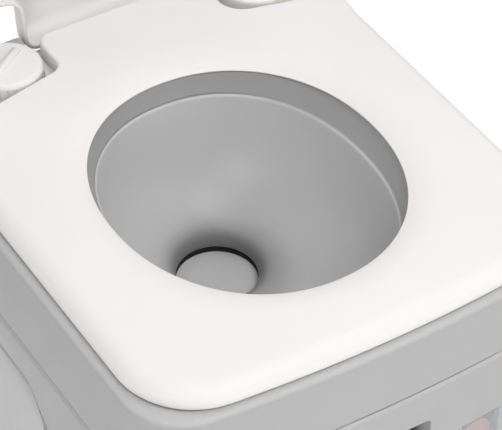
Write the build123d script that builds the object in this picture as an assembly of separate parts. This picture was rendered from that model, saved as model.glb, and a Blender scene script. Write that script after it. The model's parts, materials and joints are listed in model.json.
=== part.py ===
from build123d import *
import math
import os

# Portable two-tank cassette toilet: a waste tank below, a flush tank and deck cover above.
# Millimetres, +Z up, front faces -Y. Origin: centre of the footprint on the floor.
# The lid stands open; the seat is down and the valve is shut.

os.makedirs("parts", exist_ok=True)

# ---------------------------------------------------------------- driving dimensions
body_half_x = 181.0        # at the widest
body_half_y = 208.0
wall = 3.0
foot_height = 8.0
base_z = 30.0              # the body narrows below this
split_z = 238.0            # where the two tanks part
groove_z = 337.0           # where the deck cover meets the flush tank
deck_z = 384.0             # flat deck under the seat
rim_half_x = 171.7         # outer edge of the deck
rim_front = -201.9
rim_rear = 200.0
base_inset = 5.0           # how far the body narrows at its bottom edge
corner_r = 60.0
rim_corner_r = 46.0
front_bow, rear_bow, side_bow = 11.5, 1.5, 0.5     # bulge of each outline edge

waste_top = split_z - 2.0
flush_z0, flush_z1 = split_z + 0.2, groove_z - 0.3
cover_z0 = groove_z + 0.3

seat_half_x = 165.0
seat_front = -195.2
seat_rear = 176.2          # rear edge of the hinge tongue
seat_bottom = 385.2
seat_top = 398.0
seat_rim_z = 392.8         # top surface at the edge of the hole
tongue_left, tongue_right = -54.0, 82.0
lid_z0, lid_z1 = seat_top + 1.0, seat_top + 25.0
open_angle = 100.0         # lid angle at rest, from closed

# Superellipses: half width, half depth, centre y, exponent
hole_a, hole_b, hole_y, hole_n = 103.2, 114.2, -23.7, 2.1
lip_a, lip_b, lip_y, lip_n, lip_z = 94.4, 114.4, -24.7, 2.18, 371.4
outlet_y, outlet_r, outlet_z = 10.9, 29.8, 271.0

hinge_y, hinge_z, hinge_r, hinge_pin_r = 172.0, 380.0, 5.1, 2.5
cap_x, cap_y, cap_r = -86.0, 158.5, 26.1           # water filler cap
pump_x, pump_y, pump_r = 121.0, 158.5, 32.0        # flush pump button
pump_port = 12.0                                   # pump ports sit this far left and right

# Side latches, mirrored in x
latch_y, latch_z = -10.0, 284.0                    # middle of the lever, pivot height
latch_half = 50.0
recess_half = 62.0                                 # half length of the recess round it
recess_x = body_half_x - 22                        # floor of the recess
latch_axis_x = body_half_x - 10


# ---------------------------------------------------------------- helpers
def box(x0, x1, y0, y1, z0, z1):
    middle = Pos((x0 + x1) / 2, (y0 + y1) / 2, (z0 + z1) / 2)
    return middle * Box(x1 - x0, y1 - y0, z1 - z0)


def side_box(side, x_in, x_out, *spans):
    """Box between two distances from the middle plane, on one side (-1 or 1)."""
    x0, x1 = sorted((side * x_in, side * x_out))
    return box(x0, x1, *spans)


def rounded_box(x0, x1, y0, y1, z0, z1, radius):
    base = RectangleRounded(x1 - x0, y1 - y0, radius)
    return extrude(Pos((x0 + x1) / 2, (y0 + y1) / 2, z0) * base, z1 - z0)


def post(x, y, z0, z1, radius):
    return Pos(x, y, (z0 + z1) / 2) * Cylinder(radius, z1 - z0)


def tube(x, y, z0, z1, outer, inner):
    return post(x, y, z0, z1, outer) - post(x, y, z0 - 1, z1 + 1, inner)


def rod_x(x0, x1, y, z, radius):
    return Pos((x0 + x1) / 2, y, z) * Rot(0, 90, 0) * Cylinder(radius, x1 - x0)


def rod_y(x, y0, y1, z, radius):
    return Pos(x, (y0 + y1) / 2, z) * Rot(90, 0, 0) * Cylinder(radius, y1 - y0)


def polygon(points):
    return make_face(Polyline(*points, close=True)).face()


def yz_prism(points, x0, x1):
    """(y, z) polygon carried from x0 to x1."""
    plane = Plane(origin=(x0, 0, 0), x_dir=(0, 1, 0), z_dir=(1, 0, 0))
    return extrude(plane * polygon(points), x1 - x0)


def coil(radius, pitch, height, wire_r):
    start = Plane(origin=(radius, 0, 0), x_dir=(1, 0, 0), z_dir=(0, 1, 0))
    return sweep(start * Circle(wire_r), path=Helix(pitch, height, radius), is_frenet=True)


def oval(a, b, n, cy, z, count=24):
    """Superellipse face at height z."""
    points = []
    for i in range(count):
        angle = 2 * math.pi * i / count
        c, s = math.cos(angle), math.sin(angle)
        points.append((a * math.copysign(abs(c) ** (2 / n), c),
                       cy + b * math.copysign(abs(s) ** (2 / n), s)))
    return Pos(0, 0, z) * make_face(Spline(points, periodic=True)).face()


def hole_oval(grow, z):
    """Outline of the seat hole, grown by an offset on both half axes."""
    return oval(hole_a + grow, hole_b + grow, hole_n, hole_y, z)


def hole_plate(grow, z, height):
    return extrude(hole_oval(grow, z), height)


def edges_at(shape, z):
    return shape.edges().filter_by(lambda e: abs(e.center().Z - z) < 0.01)


def round_top(shape, z, radius, chamfer_size):
    edges = edges_at(shape, z)
    # The large radius may fail at the tongue corners; a chamfer then takes its place.
    try:
        return fillet(edges, radius)
    except Exception:
        return chamfer(edges, chamfer_size)


def cut_solids(shape, tool):
    """Cut a tool from each solid of a shape in turn."""
    return ShapeList([piece for solid in shape.solids() for piece in (solid - tool).solids()])


def swing_open(shape):
    """Turn a closed-lid shape about the hinge axis to its open place."""
    return Pos(0, hinge_y, hinge_z) * Rot(-open_angle, 0, 0) * Pos(0, -hinge_y, -hinge_z) * shape


# ---------------------------------------------------------------- outlines
def bowed_outline(half_x, front, rear, front_r, rear_r, z):
    """Rounded rectangle with bowed edges, at height z."""
    middle = (front + rear) / 2
    front_left, front_right = (-half_x, front + front_bow), (half_x, front + front_bow)
    rear_right, rear_left = (half_x, rear - rear_bow), (-half_x, rear - rear_bow)
    face = make_face([
        ThreePointArc(front_left, (0, front), front_right),
        ThreePointArc(front_right, (half_x + side_bow, middle), rear_right),
        ThreePointArc(rear_right, (0, rear), rear_left),
        ThreePointArc(rear_left, (-half_x - side_bow, middle), front_left),
    ]).face()
    face = face.fillet_2d(front_r, [v for v in face.vertices() if v.Y < middle])
    corners = [v for v in face.vertices() if v.Y > middle and abs(abs(v.X) - half_x) < 0.01]
    face = face.fillet_2d(rear_r, corners)
    return Pos(0, 0, z) * face


def body_outline(z, inset=0.0):
    """Body outline at height z: tapered deck cover, straight tanks, narrowed base."""
    if z >= groove_z:
        t = (z - groove_z) / (deck_z - 4 - groove_z)
        start_x, start_y = body_half_x - 0.6, body_half_y - 0.9
        half_x = start_x + (rim_half_x - start_x) * t
        front = -start_y + (rim_front + start_y) * t
        rear = start_y + (rim_rear - start_y) * t
        radius = corner_r + (rim_corner_r - corner_r) * t
    else:
        t = max(0.0, (base_z - z) / (base_z - foot_height))
        narrow = base_inset * t * t
        half_x = body_half_x - narrow
        front, rear = -body_half_y + narrow, body_half_y - narrow
        radius = corner_r - narrow
    return bowed_outline(half_x - inset, front + inset, rear - inset,
                         radius - inset, radius - inset, z)


# Rear corners are cut away round the filler cap and the pump button:
# side, tongue edge x, cut y at the tongue, cut y at x = 230
rear_cuts = (
    (-1, tongue_left, 136.2, 96.0),
    (1, tongue_right, 129.5, 94.0),
)
# x, y, radius, 1 for an outward corner or -1 for an inward one
seat_corners = (
    (tongue_left, 136.2, 11, -1), (tongue_right, 129.5, 20, -1),
    (tongue_left, seat_rear, 11, 1), (tongue_right, seat_rear, 14, 1),
    (-seat_half_x, 111, 16, 1), (seat_half_x, 110, 16, 1),
)


def seat_outline(z, grow=0.0):
    """Outline shared by the seat and the lid, offset outwards by grow."""
    face = bowed_outline(seat_half_x + grow, seat_front - grow, seat_rear + grow,
                         55 + grow, 20, z)
    for side, tongue_x, y_tongue, y_side in rear_cuts:
        x = tongue_x + side * grow
        face = face - Pos(0, 0, z) * polygon([
            (x, 260), (x, y_tongue + grow), (side * 230, y_side + grow), (side * 230, 260)])
    face = face.face()
    for x, y, radius, turn in seat_corners:
        corner = min(face.vertices(), key=lambda v: math.hypot(v.X - x, v.Y - y))
        # A corner whose edges are too short for its radius stays sharp.
        try:
            face = face.fillet_2d(radius + turn * grow, [corner])
        except Exception:
            pass
    return face


# ---------------------------------------------------------------- waste tank
pocket_x0, pocket_x1, pocket_y, pocket_z = -138.0, 108.0, 146.0, 172.0    # rear spout pocket
grip_half, grip_y, grip_z0, grip_z1 = 78.0, -168.0, 96.0, 150.0           # front handle pocket
outside_y = 240.0          # past the body, for cutters that run out through it
recess_z = 190.0           # floor of the latch recesses
spout_x, spout_y, spout_z = 25.0, 177.0, 205.0
vent_x, vent_y = 86.0, 176.0
handle_y, handle_z, handle_pin_r = -192.0, 142.0, 2.5     # pivot axis of the carry handle


def waste_recess(side, grow):
    return side_box(side, recess_x - grow, outside_y, latch_y - recess_half - grow,
                    latch_y + recess_half + grow, recess_z - grow, waste_top + 1)


def waste_tank():
    outer = loft([body_outline(foot_height), body_outline(18), body_outline(base_z)])
    outer += loft([body_outline(base_z), body_outline(waste_top)])
    inner = loft([body_outline(foot_height + wall, wall), body_outline(base_z, wall)])
    inner += loft([body_outline(base_z, wall), body_outline(waste_top - wall, wall)])
    spout_outer = box(pocket_x0 - wall, pocket_x1 + wall, pocket_y - wall, outside_y,
                      pocket_z - wall, waste_top + 1)
    spout_inner = box(pocket_x0, pocket_x1, pocket_y, outside_y, pocket_z, waste_top + 1)
    grip_outer = box(-grip_half - wall, grip_half + wall, -outside_y, grip_y + wall,
                     grip_z0 - wall, grip_z1 + wall)
    grip_inner = box(-grip_half, grip_half, -outside_y, grip_y, grip_z0, grip_z1)
    latch_outer = waste_recess(-1, wall) + waste_recess(1, wall)
    latch_inner = waste_recess(-1, 0) + waste_recess(1, 0)
    tank = outer - (inner - spout_outer - grip_outer - latch_outer)
    tank = tank - spout_inner - grip_inner - latch_inner
    tank -= post(0, outlet_y, waste_top - 8, waste_top + 1, 37)            # waste inlet
    tank -= post(spout_x, spout_y, pocket_z - 8, pocket_z + 1, 24.0)       # spout socket
    tank -= post(vent_x, vent_y, pocket_z - 8, pocket_z + 1, 6.0)          # vent hole
    return cut_solids(tank, rod_x(-81, 81, handle_y, handle_z, handle_pin_r))


def latch_catches():
    """Ledges the latch hooks close under."""
    return [side_box(side, recess_x + 0.1, body_half_x - 12, latch_y - 44, latch_y + 44, 206, 212)
            for side in (-1, 1)]


def feet():
    """Hollow foot at each corner; a solid middle pad takes the sag of the tank floor."""
    top = foot_height - 0.1
    corners = [post(x, y, 0, top, 15) - post(x, y, -1, 2, 7)
               for x in (-138, 138) for y in (-165, 165)]
    return corners + [post(0, 0, 0, top, 15)]


# ---------------------------------------------------------------- flush tank
channel_half, channel_y0, channel_y1, channel_top = 60, -130, 74, 277    # valve channel
slot_half, slot_y, slot_top = 29.5, -172, 280                            # valve rod slot
handle_recess_top = 307.5
window_x0, window_x1, window_z0, window_z1 = 58.0, 90.0, 257.0, 283.0


def flush_tank():
    z0 = flush_z0 - 5
    outer = loft([body_outline(flush_z0), body_outline(flush_z1 - 2)])
    outer += loft([body_outline(flush_z1 - 2), body_outline(flush_z1, 2.0)])
    inner = loft([body_outline(flush_z0 + wall, wall), body_outline(flush_z1 + 5, wall)])

    channel_inner = box(-channel_half, channel_half, channel_y0, channel_y1, z0, channel_top)
    channel_inner += box(-slot_half, slot_half, slot_y, channel_y0 + 1, z0, slot_top)
    channel_outer = box(-channel_half - wall, channel_half + wall,
                        channel_y0 - wall, channel_y1 + wall, z0, channel_top + wall)
    channel_outer += box(-slot_half - wall, slot_half + wall, slot_y - wall, channel_y0,
                         z0, slot_top + wall)

    front_inner = box(-slot_half, slot_half, -outside_y, slot_y, z0, handle_recess_top)
    front_inner = fillet(front_inner.edges().filter_by(Axis.Y)
                         .filter_by(lambda e: e.center().Z > 300), 4)
    front_outer = box(-slot_half - wall, slot_half + wall, -outside_y, slot_y + wall,
                      z0, handle_recess_top + wall)

    recesses, shells = [], []
    for side in (-1, 1):
        recess = side_box(side, recess_x, outside_y, latch_y - recess_half,
                          latch_y + recess_half, z0, 311)
        recess = chamfer(recess.edges().filter_by(Axis.X)
                         .filter_by(lambda e: e.center().Z > 300), 28)
        recess = fillet(recess.edges().filter_by(Axis.X)
                        .filter_by(lambda e: e.center().Z > 275), 18)
        recesses.append(recess)
        shells.append(side_box(side, recess_x - wall, outside_y, latch_y - recess_half - wall,
                               latch_y + recess_half + wall, z0, 311 + wall))
    latch_inner = recesses[0] + recesses[1]
    latch_outer = shells[0] + shells[1]

    tank = outer - (inner - channel_outer - front_outer - latch_outer)
    tank = tank - channel_inner - front_inner - latch_inner
    tank -= post(0, outlet_y, 270, 290, 46.5)                    # clears the bowl outlet
    tank -= box(window_x0, window_x1, -outside_y, -190, window_z0, window_z1)
    for side in (-1, 1):                                         # latch pivot lugs
        for y in (latch_y - 58, latch_y + 58):
            tank += side_box(side, recess_x - 0.2, body_half_x - 3, y - 3.9, y + 3.9,
                             latch_z - 7, latch_z + 7)
    for side in (-1, 1):
        tank -= rod_y(side * latch_axis_x, latch_y - 64, latch_y + 64, latch_z, 2.5)
    return tank


# ---------------------------------------------------------------- deck cover and hinge
well_x0, well_x1, well_y, well_z = -56.5, 81.5, 158.0, 360.0     # open-backed hinge well
hinge_screw_places = ((-28, 183), (56, 183))
bracket_ears = ((-41, -34), (10.5, 17.5), (62, 69))              # x spans


def deck_cover():
    outer = loft([body_outline(cover_z0 + 2), body_outline(deck_z)])
    outer = fillet(edges_at(outer, deck_z), 5.5)
    outer += loft([body_outline(cover_z0, 2.0), body_outline(cover_z0 + 2)])
    inner = loft([body_outline(cover_z0 - 5, wall), body_outline(deck_z - wall, wall)])
    well_outer = box(well_x0 - wall, well_x1 + 1.8, well_y - wall, outside_y,
                     well_z - wall, deck_z + 5)
    well_inner = box(well_x0, well_x1, well_y, outside_y, well_z, deck_z + 5)
    cover = outer - (inner - well_outer) - well_inner
    cover -= hole_plate(4.4, deck_z - 12, 20)
    cover -= post(cap_x, cap_y, deck_z - 10, deck_z + 5, 22.2)
    cover -= post(pump_x, pump_y, deck_z - 10, deck_z + 5, pump_r + 3.8)
    for x, y in hinge_screw_places:
        cover -= post(x, y, 350, 370, 1.6)
    return cover


def hinge_bracket():
    """Plate screwed into the well, with three ears for the hinge pin."""
    bracket = box(-44, 72, 160, 190, well_z + 0.1, well_z + 3)
    for x0, x1 in bracket_ears:
        ear = box(x0, x1, hinge_y - 5, hinge_y + 5, well_z + 2.9, hinge_z)
        ear += rod_x(x0, x1, hinge_y, hinge_z, 5)
        bracket += ear - rod_x(x0 - 1, x1 + 1, hinge_y, hinge_z, hinge_pin_r + 0.02)
    for x, y in hinge_screw_places:
        bracket -= post(x, y, 350, 380, 2.2)
    return bracket


def hinge_screws():
    return [post(x, y, well_z + 3.05, well_z + 5.2, 4)
            + post(x, y, well_z - 2.5, well_z + 3.1, 1.55) for x, y in hinge_screw_places]


def hinge_pin():
    return (rod_x(-43.5, 71.5, hinge_y, hinge_z, hinge_pin_r)
            + rod_x(-45.5, -43.4, hinge_y, hinge_z, 4.2))


# ---------------------------------------------------------------- bowl
bowl_thickness = 2.8
# Inner surface, lip to outlet: z, half width, half depth, exponent, centre y
bowl_stations = (
    (lip_z, lip_a, lip_b, lip_n, lip_y),
    (346, 91.0, 110.3, 2.12, -24.2),
    (320, 79.5, 97.5, 2.06, -21.0),
    (302, 62.0, 73.0, 2.02, -13.0),
    (289, 43.5, 47.0, 2.0, 1.0),
    (280.5, 33.0, 33.8, 2.0, 9.0),
    (outlet_z, outlet_r, outlet_r, 2.0, outlet_y),
)


def bowl():
    inner = loft([oval(a, b, n, cy, z) for z, a, b, n, cy in bowl_stations])
    outer_faces = []
    for i, (z, a, b, n, cy) in enumerate(bowl_stations):
        drop = 0 if i in (0, len(bowl_stations) - 1) else 1.6
        outer_faces.append(oval(a + bowl_thickness, b + bowl_thickness, n, cy, z - drop))
    outer = loft(outer_faces)
    collar_outer = loft([hole_oval(3.4, lip_z - 2.4), hole_oval(3.4, 389.6)])
    collar_inner = loft([oval(95.6, 114.7, 2.15, -24.6, lip_z - 0.01),
                         oval(104.6, 115.9, hole_n, hole_y, 391.5)])
    flange = hole_plate(14.8, deck_z - 8.4, 3.2) - hole_plate(2.8, deck_z - 12, 12)
    shell = outer + collar_outer + flange - inner - collar_inner
    return cut_solids(shell, box(1.5, 9.5, -145, -120, 346, 358))    # nozzle slot


def bowl_gasket():
    return hole_plate(13.3, deck_z - 5.1, 2.0) - hole_plate(5.8, deck_z - 7, 8)


# ---------------------------------------------------------------- outlet valve
blade_z, blade_thickness = 262.2, 3.6
valve_half, valve_y0, valve_y1 = 54, -125, 68
valve_screw_places = [(side * 50, y) for side in (-1, 1) for y in (-54, outlet_y, 62)]


def valve_base():
    base = rounded_box(-valve_half, valve_half, valve_y0, valve_y1, split_z - 1.9, 262.0, 6)
    base -= post(0, outlet_y, 230, 270, 34)
    # hollow inside, leaving a wall round the outlet
    base -= rounded_box(-47, 47, -120, 62, split_z + 4, 255, 4) - tube(0, outlet_y, 230, 260, 39, 34)
    base += (box(-valve_half, -46.2, valve_y0, valve_y1, 261.9, 266)
             + box(46.2, valve_half, valve_y0, valve_y1, 261.9, 266))
    for x, y in valve_screw_places:
        base = cut_solids(base, post(x, y, 256, 275, 1.4))
    return cut_solids(base, box(-2.6, 2.6, -130, -30, 258.5, 263))    # groove for the rod's keel


def valve_cover():
    cover = rounded_box(-valve_half, valve_half, -60, valve_y1, 266.1, 268.6, 6)
    cover -= post(0, outlet_y, 260, 275, 35)
    for x, y in valve_screw_places:
        cover -= post(x, y, 260, 275, 1.7)
    return cover


def valve_screws():
    return [post(x, y, 268.7, 270.6, 3.2) + post(x, y, 258, 268.8, 1.35)
            for x, y in valve_screw_places]


def valve_seal():
    return tube(0, outlet_y, 266.0, 268.4, 34.9, 29.9) + tube(0, outlet_y, 268.3, 270.9, 34.0, 30.2)


def valve_blade():
    return rounded_box(-46, 46, -38, 58, blade_z, blade_z + blade_thickness, 8)


def valve_rod():
    """Flat rod with a keel below, notched near the front of the valve base."""
    flat = box(-9, 9, -186, -38.1, blade_z + 0.1, blade_z + blade_thickness - 0.1)
    keel = box(-2, 2, -186, -38.1, blade_z - 2.0, blade_z + 0.2)
    return flat + keel - box(-12, 12, -124.9, -110, 240, blade_z - 0.2)


def valve_handle():
    handle = rounded_box(-24, 24, -203, -186.1, 252, 292, 6)
    rims = handle.edges().filter_by(lambda e: e.center().Z > 291 or e.center().Z < 253)
    handle = fillet(rims, 3)
    return handle - rounded_box(-17, 17, -199, -190, 248, 285, 3)


# ---------------------------------------------------------------- water filler
cap_top = 398.4
cap_notches = 28


def filler_neck():
    return (tube(cap_x, cap_y, 356, 393.0, 22.0, 18.5)
            + tube(cap_x, cap_y, deck_z + 0.1, deck_z + 2.4, 25.5, 21)
            + tube(cap_x, cap_y, 377.6, 380.8, 26.0, 21.5))


def filler_gasket():
    return tube(cap_x, cap_y, 393.1, 394.6, 21.8, 16.5)


def filler_cap():
    cap = post(cap_x, cap_y, 386.8, cap_top, cap_r) - post(cap_x, cap_y, 380, 394.7, 22.4)
    cap = fillet(edges_at(cap, cap_top).filter_by(lambda e: e.length > 150), 4.0)
    notch_ring = cap_r + 0.5
    for i in range(cap_notches):
        angle = 2 * math.pi * i / cap_notches
        cap -= post(cap_x + notch_ring * math.cos(angle), cap_y + notch_ring * math.sin(angle),
                    380, 394.5, 1.2)
    bar = box(-16, 16, -3, 3, cap_top - 0.1, cap_top + 2)
    return cap + Pos(cap_x, cap_y, 0) * Rot(0, 0, 35) * bar


# ---------------------------------------------------------------- flush pump
bellows_z0, bellows_z1, bellows_folds = 342.0, 382.0, 6
bellows_outer, bellows_inner, bellows_wall = 25.6, 21.4, 1.6
button_top = 398.6
nozzle_y, nozzle_z = -164.6, 352
hose_x = 142               # hose line along the right side
# Pump, round the right side of the bowl, to the nozzle under the lip
hose_points = (
    (pump_x - pump_port, pump_y, 335.8), (pump_x - pump_port, pump_y, 320),
    (hose_x, 118, 320), (hose_x, -126, 320),
    (84, nozzle_y, nozzle_z), (22, nozzle_y, nozzle_z),
)


def pump_housing():
    floor = (post(pump_x, pump_y, 338, 341.5, pump_r + 3.6)
             - post(pump_x - pump_port, pump_y, 330, 345, 3.2)
             - post(pump_x + pump_port, pump_y, 330, 345, 3.2))
    return (tube(pump_x, pump_y, 341, deck_z + 2.8, pump_r + 3.6, pump_r + 0.6)
            + tube(pump_x, pump_y, deck_z + 0.1, deck_z + 1.1, 38.2, 35)
            + tube(pump_x, pump_y, 377.6, 380.8, 37.4, 35) + floor)


def pump_bellows():
    pitch = (bellows_z1 - bellows_z0) / bellows_folds
    outside = [(bellows_inner, bellows_z0)]
    for i in range(bellows_folds):
        outside += [(bellows_outer, bellows_z0 + pitch * (i + 0.5)),
                    (bellows_inner, bellows_z0 + pitch * (i + 1))]
    inside = [(r - bellows_wall, z) for r, z in reversed(outside)]
    return Pos(pump_x, pump_y, 0) * revolve(Plane.XZ * polygon(outside + inside), Axis.Z)


def pump_button():
    button = post(pump_x, pump_y, 393.9, button_top, pump_r)
    button = fillet(edges_at(button, button_top), 4.4)
    button += tube(pump_x, pump_y, 372, 394, pump_r, pump_r - 2.4)
    button += post(pump_x, pump_y, 382.2, 394, 20) - post(pump_x, pump_y, 381, 391, 17.5)
    return button


def pump_spring():
    return Pos(pump_x, pump_y, 343.2) * coil(radius=12.0, pitch=7.6, height=45.6, wire_r=0.9)


def pump_valves():
    return [post(x, pump_y, 336.0, 337.9, 6) + post(x, pump_y, 337.8, 341.6, 3.0)
            - post(x, pump_y, 330, 345, 1.6) for x in (pump_x - pump_port, pump_x + pump_port)]


def suction_tube():
    return tube(pump_x + pump_port, pump_y, 247, 335.9, 4.6, 3.2)


def flush_hose():
    path = FilletPolyline(*hose_points, radius=10)
    return sweep(Plane(origin=path @ 0, z_dir=path % 0) * Circle(4.6), path=path)


def flush_nozzle():
    nozzle = rod_x(8, 21.8, nozzle_y, nozzle_z, 5.5) + box(2, 9, -170, -137.5, 346.5, 357.5)
    nozzle -= rod_x(12, 30, nozzle_y, nozzle_z, 2.8)
    nozzle -= box(3.5, 7.5, -168, -130, 349.5, 354.5)
    return nozzle


# ---------------------------------------------------------------- seat
seat_knuckles = ((-33.5, -22), (-0.5, 10), (18, 28.5), (50, 61.5))    # x spans
lid_arms = ((-21.5, -1.0), (29, 49.5))
seat_bumper_places = ((-134, -120), (134, -120), (-140, 60), (140, 60))


def hinge_bore():
    return rod_x(-60, 90, hinge_y, hinge_z, hinge_pin_r + 0.05)


def seat():
    outer = extrude(seat_outline(seat_bottom), seat_top - seat_bottom)
    outer = round_top(outer, seat_top, 8, 4)
    outer -= loft([hole_oval(0, seat_rim_z),
                   oval(hole_a + 26, hole_b + 26, 2.2, hole_y, seat_top + 0.3)])
    # hollow underneath, but for a ring round the hole
    hollow = extrude(seat_outline(seat_bottom - 1, -3.6), 5.8)
    body = outer - (hollow - hole_plate(11, seat_bottom - 2, 20))
    body -= hole_plate(4.4, seat_bottom - 1, 5.4)                # clears the bowl collar
    body -= hole_plate(0, seat_bottom - 1, 30)
    body += box(-48, 76, 150, 153, seat_bottom, seat_bottom + 5)    # rib under the tongue
    for x0, x1 in seat_knuckles:
        body += (rod_x(x0, x1, hinge_y, hinge_z, hinge_r)
                 + box(x0, x1, hinge_y - 4.4, hinge_y + 1.4, hinge_z, seat_bottom + 8))
    return body - hinge_bore()


def seat_bumpers():
    return [post(x, y, deck_z + 0.05, seat_bottom + 4.75, 7) for x, y in seat_bumper_places]


# ---------------------------------------------------------------- lid, drawn closed then opened
def lid():
    outer = extrude(seat_outline(lid_z0), lid_z1 - lid_z0)
    outer = round_top(outer, lid_z1, 9, 5)
    shell = outer - extrude(seat_outline(lid_z0 - 1, -3.0), lid_z1 - lid_z0 - 2.0)
    shell -= box(79.5, 100, 160, 200, lid_z0 - 2, lid_z1 + 2)
    # goose-neck arm passing behind the seat's tongue: y, z
    neck = (
        (hinge_y, hinge_z - 5.0), (hinge_y + 10.0, hinge_z - 5.0),
        (hinge_y + 10.0, lid_z0 + 14), (seat_rear - 2.0, lid_z0 + 14),
        (seat_rear - 2.0, lid_z0 + 0.7), (hinge_y + 5.5, lid_z0 + 0.7),
        (hinge_y + 5.5, hinge_z - 1), (hinge_y, hinge_z - 1),
    )
    for x0, x1 in lid_arms:
        shell += rod_x(x0, x1, hinge_y, hinge_z, hinge_r) + yz_prism(neck, x0, x1)
    return swing_open(shell - hinge_bore())


def lid_bumpers():
    return [swing_open(post(x, -150, lid_z0 - 0.9, lid_z1 - 3.05, 5)) for x in (-125, 125)]


# ---------------------------------------------------------------- side latches
# Lever section: distance outwards from 3.6 inside the body's widest line, z
latch_profile = (
    (-5, 300), (-1.5, 303), (1.5, 300), (2.5, 276), (3.2, 240), (3.0, 200), (-0.5, 196),
    (-9.5, 198), (-9.5, 205.8), (-2.0, 205.4), (-1.8, 240), (-2.5, 277), (-10.5, 279.5),
    (-10.5, 288.5), (-4, 291), (-5, 296),
)


def latch(side):
    section = Plane(origin=(side * (body_half_x - 3.6), 0, 0),
                    x_dir=(side, 0, 0), z_dir=(0, -side, 0))
    lever = extrude(section * polygon(latch_profile), 2 * latch_half)
    lever = Pos(0, latch_y - lever.bounding_box().center().Y, 0) * lever
    x0, x1 = sorted((side * (body_half_x - 30), side * (body_half_x + 12)))
    for end in (-1, 1):                                          # bevelled upper corners
        y_end, y_in = latch_y + end * 51, latch_y + end * 29
        lever -= yz_prism(((y_end, 281), (y_in, 304), (y_end, 304)), x0, x1)
    x = side * latch_axis_x
    lever += rod_y(x, latch_y - latch_half, latch_y + latch_half, latch_z, 4.8)
    lever -= rod_y(x, latch_y - 60, latch_y + 60, latch_z, 2.55)
    return lever


def latch_left():
    return latch(-1)


def latch_right():
    return latch(1)


def latch_pins():
    return [rod_y(side * latch_axis_x, latch_y - 61, latch_y + 61, latch_z, 2.48)
            for side in (-1, 1)]


# ---------------------------------------------------------------- pour-out spout
spout_cap_notches = 24


def spout_elbow():
    """Upright socket turning to a mouth that points left."""
    bend = Pos(spout_x, spout_y, spout_z)
    socket = tube(spout_x, spout_y, pocket_z - 6, 190, 21.5, 18.5)
    outer = (rod_x(-92, spout_x, spout_y, spout_z, 20) + bend * Sphere(20)
             + post(spout_x, spout_y, 189, spout_z, 20))
    inner = (rod_x(-95, spout_x, spout_y, spout_z, 17) + bend * Sphere(17)
             + post(spout_x, spout_y, 160, spout_z, 17))
    elbow = (socket + outer) - inner + tube(spout_x, spout_y, 176.2, 179.0, 27.5, 21)
    elbow += rod_x(-80, -77, spout_y, spout_z, 23.5) - inner
    elbow -= post(spout_x, spout_y, 150, 190, 17)
    return elbow


def spout_collar():
    return tube(spout_x, spout_y, pocket_z + 0.1, 176.0, 28, 22.6)


def spout_seal():
    return tube(spout_x, spout_y, pocket_z - 2.6, pocket_z - 0.2, 23.9, 21.56)


def spout_cap():
    cap = rod_x(-99.5, -81, spout_y, spout_z, 25.5) - rod_x(-96.5, -70, spout_y, spout_z, 22.6)
    for i in range(spout_cap_notches):
        angle = 2 * math.pi * i / spout_cap_notches
        cap -= rod_x(-98, -70, spout_y + 26 * math.cos(angle), spout_z + 26 * math.sin(angle), 1.1)
    cap += box(-105, -99.4, spout_y - 3, spout_y + 3, spout_z - 17, spout_z + 17)
    return cap


def spout_gasket():
    return rod_x(-96.4, -92.2, spout_y, spout_z, 20) - rod_x(-97, -90, spout_y, spout_z, 15)


# ---------------------------------------------------------------- vent on the waste tank
def vent_body():
    return (tube(vent_x, vent_y, 156, 178, 5.9, 4.2) + tube(vent_x, vent_y, 156, 167.4, 5.9, 1.9)
            + tube(vent_x, vent_y, pocket_z + 0.1, pocket_z + 3, 11, 5.5))


def vent_button():
    return (post(vent_x, vent_y, 183.5, 189.5, 8.5) + post(vent_x, vent_y, 153, 184, 1.6)
            + post(vent_x, vent_y, 181.0, 183.6, 3.6))


def vent_spring():
    return Pos(vent_x, vent_y, 168) * coil(radius=2.9, pitch=2.4, height=12.0, wire_r=0.35)


def vent_seal():
    return tube(vent_x, vent_y, 152.9, 155.9, 7.5, 1.7)


# ---------------------------------------------------------------- level indicator, flush tank
level_x, level_z = 74.0, 262.0
float_x = level_x + 48


def level_window():
    return box(window_x0 + 0.1, window_x1 - 0.1, -206.2, -203.8, window_z0 + 0.1, window_z1 - 0.1)


def level_pivot():
    return rod_y(level_x, -203.7, -184, level_z, 1.5) + rod_y(level_x, -186, -183.6, level_z, 3.6)


def level_float():
    """Dial disc, hub, arm and float in one piece."""
    dial = rod_y(level_x, -202, -200, level_z, 13) + rod_y(level_x, -202, -188, level_z, 4)
    dial = dial + box(level_x, float_x, -193, -190, level_z - 1.5, level_z + 1.5)
    dial = dial + rod_y(float_x, -197, -176, level_z, 9)
    return dial - rod_y(level_x, -210, -185, level_z, 1.56)


# ---------------------------------------------------------------- carry handle, waste tank
def carry_handle():
    bar_r, drop = 6, 34
    arm_spans = ((-72, -62), (62, 72))
    handle = rod_x(-66, 66, handle_y, handle_z - drop, bar_r)
    for x0, x1 in arm_spans:
        handle += box(x0, x1, handle_y - bar_r, handle_y + bar_r,
                      handle_z - drop - bar_r, handle_z)
    for x0, x1 in arm_spans:
        handle += rod_x(x0, x1, handle_y, handle_z, bar_r)
    return handle - rod_x(-90, 90, handle_y, handle_z, 2.56)


def handle_pins():
    return [rod_x(x0, x1, handle_y, handle_z, handle_pin_r)
            for x0, x1 in ((-80.9, -61), (61, 80.9))]


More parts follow.
